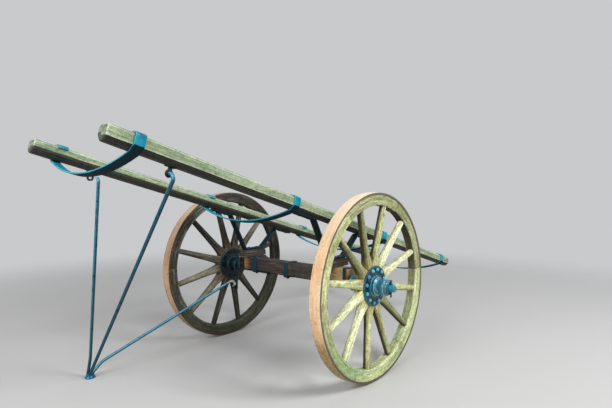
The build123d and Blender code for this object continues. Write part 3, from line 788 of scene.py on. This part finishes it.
# beam and axle with their straps
beamLow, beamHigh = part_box("axle_beam")
beam = {
    "middleHeight": 0.082, "barHalf": 0.023, "halfLength": beamHigh.y, "endLength": 0.210,
    "strapThickness": 0.006, "strapWidth": 0.034, "ferruleWidth": 0.024, "strapBend": 0.0055,
    "strapRound": 0.0014, "nutPlace": 0.027, "tipFromBeam": 0.2,
}
barBottom = axleZ - beam["barHalf"]
strapWidth, ferruleWidth = beam["strapWidth"], beam["ferruleWidth"]
straps = [(0.0, strapWidth, beamLow.z + beam["middleHeight"])]
for place, width in ((beam["halfLength"] - beam["endLength"] + strapWidth / 2, strapWidth),
                     (beam["halfLength"] - ferruleWidth / 2, ferruleWidth)):
    straps += [(sign * place, width, beamHigh.z) for sign in sideSigns.values()]
strapParts = []
for place, width, top in straps:
    thick = beam["strapThickness"]
    x = (beamHigh.x - beamLow.x) / 2 + thick / 2
    corners = [(axleX + x, place, top + thick / 2), (axleX - x, place, top + thick / 2),
               (axleX - x, place, barBottom - thick / 2), (axleX + x, place, barBottom - thick / 2)]
    strapParts.append(bentBar("strapPart", strapPaint, corners, [beam["strapBend"]] * 4, (0, 1, 0), width,
                              thick, beam["strapRound"], closed=True))


def joined(name, parts):  # several plain meshes made one
    work = bmesh.new()
    for part in parts:
        work.from_mesh(part.data)
        bpy.data.objects.remove(part)
    mesh = bpy.data.meshes.new(name)
    work.to_mesh(mesh)
    work.free()
    return placed(name, mesh)


dress(joined("axleStraps", strapParts), "cart", strapPaint, "axle_iron", "axle_straps")
strapNuts = [((axleX + x, place, barBottom - beam["strapThickness"]), (0, 0, -1))
             for place, _, _ in straps[:3] for x in (-beam["nutPlace"], beam["nutPlace"])]
headPiece("strapNuts", darkPaint, "axle_iron", strapNuts)

softened("axle_beam", beamWood, "beam_wood", 0.004, ((0, 1, 0), (1, 0, 0), (0, 0, 1)))
for side in sideSigns:
    softened(f"foot_block_{side}", beamWood, "beam_wood", 0.003, ((1, 0, 0), (0, 1, 0), (0, 0, 1)))
    softened(f"washer_{side}", nosePaint, "hub_iron", 0.0012)
    softened(f"linchpin_{side}", nosePaint, "hub_iron", 0.0016)
    softened(f"stand_eye_{side}", sootIron, "stand_iron", 0.0016)
axleIron = softened("axle_iron", darkPaint, "axle_iron", 0.0015)
tipY = beamHigh.y + beam["tipFromBeam"]
setValues(axleIron, "tip", [1.0 if abs(v.co.y) > tipY else 0.0 for v in axleIron.data.vertices])
print("beam and axle ready")

# stand
stand = {
    "rod": 0.018, "ringRadius": 0.0145, "turns": {"left": 70, "right": -70, "rear": 172}, "top": 0.026,
    "footFromAxle": 1.085, "footSide": -0.620, "eyePlace": 1.2, "eyeDrop": 0.032, "pinReach": 0.012,
    "pinBend": 0.020, "leftCorner": 0.054, "rightCorner": 0.100, "rightBendHeight": 0.130,
    "rightBendShift": 0.018, "rightBend": 0.090, "rearBack": 0.067, "rearHeight": 0.080, "rearBend": 0.090,
    "hookFromAxle": 0.132, "hookHeight": 0.456, "hookOutset": 0.020, "hookReach": 0.045,
    "hookReachDrop": 0.019, "hookReturn": 0.033, "hookDrop": 0.041, "hookTop": 0.016, "hookEnd": 0.012,
    "hookNeck": 0.05, "hookBack": 0.09, "rubbedReach": 0.058, "rubbedFade": 80, "inFoot": 0.014,
    "roundShare": 0.497, "roundSteps": 5, "baseRadius": 0.031, "stemRadius": 0.027, "footSegments": 40,
    # share of the base's or stem's radius, and height
    "base": ((0.0, 0.0), (0.97, 0.0), (1.0, 0.003), (0.96, 0.007), (0.86, 0.010)),
    "stem": ((0.93, 0.014), (0.92, 0.019), (0.86, 0.0235), (0.7, 0.026), (0.0, 0.026)),
}
footX, footY = axleX + stand["footFromAxle"], stand["footSide"]
eye = onRail(stand["eyePlace"], 0, -halfHeight - stand["eyeDrop"])
lugLow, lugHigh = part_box("stand_lug")
lugY = (lugLow.y + lugHigh.y) / 2
hookStart = Vector((axleX + stand["hookFromAxle"], lugY - stand["hookOutset"], stand["hookHeight"]))


def onFoot(name):  # where a rod enters the foot
    a, radius = math.radians(stand["turns"][name]), stand["ringRadius"]
    return Vector((footX + radius * math.cos(a), footY + radius * math.sin(a), stand["top"]))


rightPin = Vector((eye.x, stand["rightCorner"] - railY, eye.z))
share = (stand["rightBendHeight"] - stand["top"]) / (rightPin.z - stand["top"])
rightLow = onFoot("right") + (rightPin - onFoot("right")) * share + Vector((0, stand["rightBendShift"], 0))
lean = (hookStart.y - footY) / (footX - hookStart.x)
rearLow = Vector((footX - stand["rearBack"], footY + stand["rearBack"] * lean, stand["rearHeight"]))
fromHook = (rearLow - hookStart).normalized()
hookTurn = hookStart + Vector((0, stand["hookReach"], -stand["hookReachDrop"]))
hookTip = hookStart + Vector((0, stand["hookReach"] - stand["hookReturn"], -stand["hookDrop"]))
# each rod's face, corners and bends
rods = {
    "left": ((1, 0, 0), [Vector((eye.x, railY + stand["leftCorner"], eye.z)),
                         Vector((eye.x, railY - stand["pinReach"], eye.z))], [stand["pinBend"], 0]),
    "right": ((0, 1, 0), [rightLow, rightPin, Vector((eye.x, -railY - stand["pinReach"], eye.z))],
              [stand["rightBend"], stand["pinBend"], 0]),
    "rear": ((0, 1, 0), [rearLow, hookStart + fromHook * stand["hookBack"],
                         hookStart + fromHook * stand["hookNeck"], hookStart, hookTurn, hookTip],
             [stand["rearBend"], 0, 0, stand["hookTop"], stand["hookEnd"], 0]),
}
for name, (face, corners, bends) in rods.items():
    first = onFoot(name)
    start = first + (first - corners[0]).normalized() * stand["inFoot"]
    thick = stand["rod"]
    piece = barPiece(f"stand_rod_{name}", "stand", rodPaint, "stand_iron", [start] + corners, [0] + bends,
                     face, thick, thick, thick * stand["roundShare"], steps=stand["roundSteps"])
    if name == "rear":  # the hook is rubbed bare
        reaches = [stand["rubbedReach"] - (v.co - hookTurn).length for v in piece.data.vertices]
        setValues(piece, "tip", [clamped(reach * stand["rubbedFade"]) for reach in reaches])


def footPiece():
    outline = [(stand["baseRadius"] * share, height) for share, height in stand["base"]]
    outline += [(stand["stemRadius"] * share, height) for share, height in stand["stem"]]
    vertices = []
    segments = stand["footSegments"]
    for radius, height in outline:
        for i in range(segments):
            a = 2 * math.pi * i / segments
            lobes = 1 - 0.075 * (0.5 - 0.5 * math.cos(3 * a - 1.2)) * min(1, height / 0.010)
            unevenness = noise.noise(Vector((math.cos(a) * 2, math.sin(a) * 2, height * 90)))
            r = radius * lobes * (1 - 0.03 * (0.5 + 0.5 * unevenness))
            vertices.append((footX + r * math.cos(a), footY + r * math.sin(a), height))
    piece = meshPiece("standFoot", vertices, skin(len(outline), segments, caps=False), {})
    tidied(piece.data, merge=True)
    dress(piece, "stand", rodPaint, "stand_iron", "stand_foot")


footPiece()

lug = {
    "width": 0.044, "thickness": 0.012, "rounding": 0.0018, "topBelowBeam": 0.014, "bendBelowBeam": 0.008,
    "reachBelow": 0.018, "bend": 0.014, "clearance": 0.0002, "upperNut": 0.032, "lowerNut": 0.022,
}
frontX = beamHigh.x + lug["thickness"] / 2
lugX = hookStart.x - stand["rod"] / 2 - lug["clearance"] - lug["thickness"] / 2
lugPoints = [(frontX, lugY, beamHigh.z - lug["topBelowBeam"]),
             (frontX, lugY, beamLow.z - lug["bendBelowBeam"]), (lugX, lugY, stand["hookHeight"]),
             (lugX, lugY, stand["hookHeight"] - stand["hookDrop"] - lug["reachBelow"])]
barPiece("stand_lug", "cart", sootIron, "stand_iron", lugPoints, [0, lug["bend"], lug["bend"], 0], (0, 1, 0),
         lug["width"], lug["thickness"], lug["rounding"])
lugNuts = [((frontX + lug["thickness"] / 2, lugY, z), (1, 0, 0))
           for z in (beamHigh.z - lug["upperNut"], beamLow.z + lug["lowerNut"])]
headPiece("lugNuts", sootIron, "stand_iron", lugNuts)
print("stand ready")

# wheels
wheel = {
    "tyreWidth": 0.070, "tyreThickness": 0.014, "tyreCrown": 0.0009, "tyreSegments": 180,
    "spokes": 12, "firstAngle": {"left": 19.5, "right": 13.0}, "hubInset": 0.023, "rootThickness": 0.054,
    "flangeThickness": 0.010, "flangeDiameter": 0.237, "flangeDish": 0.0014, "coreDiameter": 0.124,
    "barrelDiameter": 0.104, "innerLength": 0.084, "boreDiameter": 0.0461, "rivetRing": 0.0965, "rivets": 12,
    "flangeSegments": 96, "naveSegments": 72, "crownShares": (0.2, 0.4, 0.5, 0.6, 0.8),
    # length and diameter of each step of the nose, the gap before it, and its roundings
    "nose": ((0.018, 0.112, 0.0002, 0.0008, 0.005), (0.045, 0.092, 0.006, 0.004, 0.002),
             (0.012, 0.102, 0.0002, 0.0035, 0.0035), (0.012, 0.080, 0.0002, 0.001, 0.003)),
}
outerRadius = (tyreHigh.z - tyreLow.z) / 2
woodRadius = outerRadius - wheel["tyreThickness"]
rimPlane = tyreHigh.y - wheel["tyreWidth"] / 2
hubPlane = rimPlane - wheel["hubInset"]
spokeStep = 2 * math.pi / wheel["spokes"]


def wheelPoint(sign, place, radius, angle):  # angle from upright towards the front
    return Vector((axleX + radius * math.sin(angle), sign * place, axleZ + radius * math.cos(angle)))


def spun(name, sign, outline, segments, extra=None):
    # outline: closed loop of place outwards, radius, edge
    turns = [2 * math.pi * i / segments for i in range(segments)]
    vertices = [wheelPoint(sign, place, radius, a) for a in turns for place, radius, _ in outline]
    attributes = {"edge": [edge for _, _, edge in outline] * segments}
    for label, values in (extra or {}).items():
        attributes[label] = values * segments
    return meshPiece(name, vertices, skin(segments, len(outline), caps=False, closed=True), attributes)


def tyrePiece(side, sign, finish):
    half, inner = wheel["tyreWidth"] / 2, woodRadius
    crown = wheel["tyreCrown"]
    loop = roundedLoop([(rimPlane - half, inner, 0.001), (rimPlane + half, inner, 0.001),
                        (rimPlane + half, outerRadius - crown, 0.0035),
                        (rimPlane - half, outerRadius - crown, 0.0035)], 0.002, 3)
    tread = []
    for i, (x, y, edge) in enumerate(loop):
        tread.append((x, y, edge))
        nextX, nextY, _ = loop[(i + 1) % len(loop)]
        if min(y, nextY) > outerRadius - crown - 0.0001 and abs(nextX - x) > 0.02:  # the crowned tread
            for share in wheel["crownShares"]:
                px = x + (nextX - x) * share
                tread.append((px, outerRadius - crown * ((px - rimPlane) / half) ** 2, 0.0))
    atSide = [float(abs(abs(x - rimPlane) - half) < 0.0004 or y < inner + 0.001) for x, y, _ in tread]
    piece = spun(camel(f"tyre_{side}_iron"), sign, tread, wheel["tyreSegments"], {"side": atSide})
    dress(piece, f"wheel_{side}", finish, "tyre_iron", f"tyre_{side}")


felloe = {
    "width": 0.062, "depth": 0.064, "chamfer": 0.007, "gap": 0.0011, "round": 0.0025, "stations": 22,
    "firstTurn": 0.0012, "roundTurn": 0.0045, "wobble": 0.0006,
    "tones": {"left": (0.06, -0.06, 0.03, 0.08, -0.36, -0.27),
              "right": (0.35, 0.45, 0.15, -0.2, -0.4, -0.3)},
    # thickness lost at the inside and shift outwards, for each felloe in turn from the first joint
    "fits": ((0.0010, 0.0006), (0.0004, -0.0008), (0.0015, 0.0010), (0.0, 0.0012), (0.0070, -0.0006),
             (0.0012, 0.0)),
}


def felloePiece(side, sign, finish):
    inner = woodRadius - felloe["depth"]
    middle = (inner + woodRadius) / 2
    half, chamfer = felloe["width"] / 2, felloe["chamfer"]
    firstJoint = math.radians(wheel["firstAngle"][side]) + spokeStep / 2
    gapAngle = felloe["gap"] / 2 / woodRadius
    rounding = felloe["round"]
    endSteps = [(0.0, rounding), (felloe["firstTurn"], rounding * 0.35), (felloe["roundTurn"], 0.0)]
    vertices, faces = [], []
    values = {label: [] for label in ("grain", "edge", "number", "shade", "ochre", "moss", "tone")}
    for k, (lost, shift) in enumerate(felloe["fits"]):
        loop = roundedLoop([(-half, woodRadius, 0.0015), (half, woodRadius, 0.0015),
                            (half, inner + lost + chamfer, 0.003), (half - chamfer, inner + lost, 0.003),
                            (chamfer - half, inner + lost, 0.003),
                            (-half, inner + lost + chamfer, 0.003)], 0.0025, 2)
        start = firstJoint + k * math.pi / 3 + gapAngle
        end = firstJoint + (k + 1) * math.pi / 3 - gapAngle
        stations = stationsBetween(start, end, endSteps, felloe["stations"])
        faces += skin(len(stations), len(loop), len(vertices))
        for a, inset in stations:
            for x, radius, edge in loop:
                inwards = float(radius < inner + lost + 0.0008)
                px = x * (1 - inset / half)
                spot = Vector((a * 9 + k * 3 + sign, x * 20, radius * 20))
                wobble = abs(noise.noise(spot)) * felloe["wobble"]
                if radius < middle:
                    radius = middle + (radius - middle) * (1 - inset / (felloe["depth"] / 2)) + wobble
                place = rimPlane + px + shift - math.copysign(wobble, px)
                vertices.append(wheelPoint(sign, place, radius, a))
                row = {
                    "grain": ((a - start) * middle + k * 1.7, px, radius - middle),
                    "edge": max(edge, 1.0 if inset > 0 else 0.0),
                    "number": float(k + 20),
                    # painted shade on the inner faces, darkest on the upper felloes
                    "shade": inwards * clamped(0.48 + math.cos(a) * 0.9, 0.12),
                    "ochre": max(0.0, 1 - min(a - start, end - a) * middle / 0.02) * 0.3,
                    "moss": max(0.0, -math.cos(a)) * 0.8 + 0.1,
                    "tone": felloe["tones"][side][k],
                }
                for label, value in row.items():
                    values[label].append(value)
    piece = meshPiece(camel(f"felloes_{side}_wood"), vertices, faces, values)
    dress(piece, f"wheel_{side}", finish, "wheel_wood", f"felloes_{side}")


spoke = {
    "taperFrom": 0.124, "width": (0.027, 0.017), "depth": (0.022, 0.020), "flare": 0.0035, "flareFrom": 0.142,
    "flareLength": 0.06, "clearance": 0.0003, "pastRim": 0.007, "around": 24,
    # how much painted shade each spoke gets, from the first, and which way their painted-shade flanks face
    "browns": (0.7, 0.75, 0.2, 0.05, 0.0, 0.25, 0.55, 0.9, 0.4, 0.1, 0.0, 0.25),
    "damp": Vector((0.72, -0.5, -0.48)),
}
spokeTip = woodRadius - felloe["depth"] - 0.0006
spokeLean = wheel["hubInset"] + spoke["pastRim"]


def taper(radius):  # 0 at the flange, 1 at the felloes
    return (radius - spoke["taperFrom"]) / (spokeTip - spoke["taperFrom"])


def tapered(pair, radius):
    return pair[0] + (pair[1] - pair[0]) * taper(radius)


def spokePiece(side, sign, finish):
    # radius, half width round the wheel, half depth along the axle, squareness, place from the hub's plane
    core = wheel["coreDiameter"] / 2 + 0.0002
    sections = [(r, r * math.tan(spokeStep / 2) - spoke["clearance"], wheel["rootThickness"] / 2, square, 0.0)
                for r, square in ((core, 12.0), (0.090, 12.0), (0.116, 9.0))]
    sections.append((0.126, 0.0318, 0.0265, 6.0, 0.0008))
    for r, square in ((0.142, 4.2), (0.165, 3.2), (0.20, 2.6), (0.26, 2.35), (0.33, 2.3), (0.40, 2.3),
                      (0.445, 2.4), (spokeTip - 0.004, 2.6), (spokeTip, 2.6)):
        flare = spoke["flare"] * max(0.0, 1 - (r - spoke["flareFrom"]) / spoke["flareLength"])
        sections.append((r, tapered(spoke["width"], r) + flare * 0.7, tapered(spoke["depth"], r) + flare,
                         square, spokeLean * taper(r)))
    around = spoke["around"]
    vertices, grain, edges = [], [], []
    for r, halfWide, halfDeep, square, place in sections:
        end = 0.93 if r == spokeTip else 1.0
        for i in range(around):
            a = 2 * math.pi * i / around
            x = math.copysign(abs(math.cos(a)) ** (2 / square), math.cos(a)) * halfWide
            y = math.copysign(abs(math.sin(a)) ** (2 / square), math.sin(a)) * halfDeep
            vertices.append((x * end, sign * (place + y * end), r))
            grain.append((r, x, y))
            atCorner = square > 5 and abs(abs(x) - halfWide) < 0.004 and abs(abs(y) - halfDeep) < 0.004
            edges.append(0.7 if atCorner else 0.0)
    name = camel(f"spokes_{side}_wood")
    single = meshPiece(name, vertices, skin(len(sections), around), {"grain": grain, "edge": edges})
    first = math.radians(wheel["firstAngle"][side])
    centre = Vector((axleX, sign * hubPlane, axleZ))
    piece = grown(name, single, ring, finish,
                  {"Count": wheel["spokes"], "First": first, "Centre": tuple(centre)})
    each = len(piece.data.vertices) // wheel["spokes"]
    damp = spoke["damp"]
    values = {label: [] for label in ("shade", "ochre", "tone", "dry")}
    for i, vertex in enumerate(piece.data.vertices):
        shadeBrown = spoke["browns"][i // each]
        a = first + i // each * spokeStep
        outwards, aside = Vector((math.sin(a), 0, math.cos(a))), Vector((math.cos(a), 0, -math.sin(a)))
        inWheel = vertex.co - centre
        radius = inWheel.dot(outwards)
        # painted shade on the flank that faces the shaded side, painted highlight on the other; each spoke's
        # tone follows its share of painted shade
        beside = (inWheel.y - sign * spokeLean * taper(radius)) / 0.021
        towardShade = clamped(inWheel.dot(aside) / tapered(spoke["width"], radius), -1.0) * aside.dot(damp)
        towardShade += clamped(beside, -1.0) * damp.y
        fade = clamped((radius - 0.12) / 0.05)
        shadedFlank = clamped((towardShade - 0.44) / 0.2)
        values["shade"].append(clamped(shadeBrown * (0.6 + 0.5 * towardShade) + shadedFlank) * fade)
        values["tone"].append(0.3 - shadeBrown * 0.5)
        values["dry"].append(max(0.0, 0.9 - shadeBrown * 3.5) * (0.55 - 0.45 * towardShade) * fade)
        nearHub, nearRim = max(0.0, 1 - (radius - 0.10) / 0.10), max(0.0, 1 - (0.475 - radius) / 0.04)
        values["ochre"].append(nearHub * 0.9 + nearRim * 0.5)
    for label, row in values.items():
        setValues(piece, label, row)
    dress(piece, f"wheel_{side}", finish, "wheel_wood", f"spokes_{side}")


def hubPieces(side, sign, plateFinish, naveFinish, rivetFinish):
    body = f"wheel_{side}"
    core, flange = wheel["coreDiameter"] / 2, wheel["flangeDiameter"] / 2
    thickness, dish = wheel["flangeThickness"], wheel["flangeDish"]
    outerFace, innerFace = hubPlane + wheel["rootThickness"] / 2, hubPlane - wheel["rootThickness"] / 2
    for label, near, way in (("outer", outerFace, 1), ("inner", innerFace, -1)):
        far = near + way * thickness
        loop = roundedLoop([(near, core, 0.0004), (near, flange - 0.001, 0.0012),
                            (far - way * 0.0025, flange, 0.0018), (far - way * 0.0004, flange - 0.006, 0.002),
                            (far - way * dish, flange - 0.0085, 0.001),
                            (far - way * dish, core + 0.012, 0.003), (far, core + 0.006, 0.002),
                            (far, core, 0.0004)], 0.0006, 3)
        node = f"flange_{label}_{side}"
        dress(spun(camel(node), sign, loop, wheel["flangeSegments"]), body, plateFinish, "hub_iron", node)
        single = headsOn("rivetSingle", rivetFinish, [((0, 0, wheel["rivetRing"]), (0, sign * way, 0))])
        rivets = grown(camel(f"rivets_{label}_{side}"), single, ring, rivetFinish,
                       {"Count": wheel["rivets"], "First": math.radians(wheel["firstAngle"][side]),
                        "Centre": (axleX, sign * (far - way * dish), axleZ)})
        dress(rivets, body, rivetFinish, "hub_iron")
    bore, barrel = wheel["boreDiameter"] / 2, wheel["barrelDiameter"] / 2
    innerEnd = innerFace - thickness - wheel["innerLength"]
    place = outerFace + thickness
    corners = [(innerEnd, bore, 0.0005), (innerEnd, barrel, 0.003),
               (innerFace - thickness * 2, barrel, 0.003), (innerFace - thickness, core, 0.001),
               (place, core, 0.001)]
    for length, diameter, gap, firstRound, lastRound in wheel["nose"]:
        corners += [(place + gap, diameter / 2, firstRound), (place + length, diameter / 2, lastRound)]
        place += length
    corners.append((place, bore, 0.0005))
    outline = []
    for point in roundedLoop(corners, 0.0, 4):
        if not outline or (Vector(point[:2]) - Vector(outline[-1][:2])).length > mergeDistance * 2:
            outline.append(point)
    piece = spun(camel(f"nave_{side}_iron"), sign, outline, wheel["naveSegments"])
    dress(piece, body, naveFinish, "hub_iron", f"nave_{side}")


# the far wheel takes the darker copies, as painted shade
wheelFinishes = {
    "left": (wheelWood, tyreIron, hubPaint, nosePaint, rivetPaint),
    "right": (shadedWood, farTyreIron, farHubPaint, farHubPaint, darkPaint),
}
for side, sign in sideSigns.items():
    wood, iron, *paints = wheelFinishes[side]
    tyrePiece(side, sign, iron)
    felloePiece(side, sign, wood)
    spokePiece(side, sign, wood)
    hubPieces(side, sign, *paints)
print("wheels ready")

# the bands' rivets, on the rails' tops
bandRivets = [(onRail(place + shift, sign * railY, halfHeight + band["thickness"]), upRail)
              for place in band["places"] for sign in sideSigns.values()
              for shift in (-band["rivetShift"], band["rivetShift"])]
headPiece("bandRivets", bandPaint, "band_iron", bandRivets)

# floor, lamps and the pale background
floorLook = {"half": 30, "drop": 0.0005, "colour": (0.56, 0.56, 0.555), "roughness": 0.85, "fade": (2.6, 6.0)}
half = floorLook["half"]
floorCorners = [(-half, -half, 0), (half, -half, 0), (half, half, 0), (-half, half, 0)]
floorMesh = bpy.data.meshes.new("floor")
floorMesh.from_pydata(floorCorners, [], [(0, 1, 2, 3)])
floor = bpy.data.objects.new("floor", floorMesh)
collection.objects.link(floor)
floor.location.z = -floorLook["drop"]
paleFloor = Finish("paleFloor")
edge = paleFloor.vectors("LENGTH", paleFloor.place(), output="Value").between(*floorLook["fade"])
floorSockets = {"Base Color": floorLook["colour"], "Roughness": floorLook["roughness"], "Alpha": 1 - edge}
floorMesh.materials.append(paleFloor.surface(floorSockets))

lampTarget = Vector((0.1, 0, 0.6))
lampLook = {
    "key": {"place": (-0.6, 5.4, 4.6), "size": 2.2, "power": 370},
    "front": {"place": (5.6, 0.8, 3.0), "size": 3.0, "power": 225},
    "fill": {"place": (4.0, -4.0, 3.2), "size": 4.0, "power": 46},
    "back": {"place": (-4.5, -1.0, 4.5), "size": 4.0, "power": 60},
}
for name, look in lampLook.items():
    lampData = bpy.data.lights.new(name, "AREA")
    lampData.energy = look["power"]
    lampData.size = look["size"]
    lamp = bpy.data.objects.new(name, lampData)
    lamp.location = look["place"]
    lamp.rotation_euler = (lampTarget - lamp.location).to_track_quat("-Z", "Y").to_euler()
    collection.objects.link(lamp)

worldLook = {"colour": (0.93, 0.95, 0.97), "light": 0.2, "seen": 0.62}  # what lights the cart, what is seen
world = bpy.data.worlds.new("paleRoom")
world.use_nodes = True
scene.world = world
sky = Web(world.node_tree)
sky.tree.nodes.clear()
path = sky.add("ShaderNodeLightPath")
seen = path.out("Is Camera Ray").most(path.out("Is Glossy Ray")).most(path.out("Is Transmission Ray"))
strength = seen * (worldLook["seen"] - worldLook["light"]) + worldLook["light"]
backdrop = sky.add("ShaderNodeBackground", {"Color": worldLook["colour"], "Strength": strength})
sky.add("ShaderNodeOutputWorld", {"Surface": backdrop})
scene.view_settings.view_transform = "Standard"
print("floor and lamps ready")
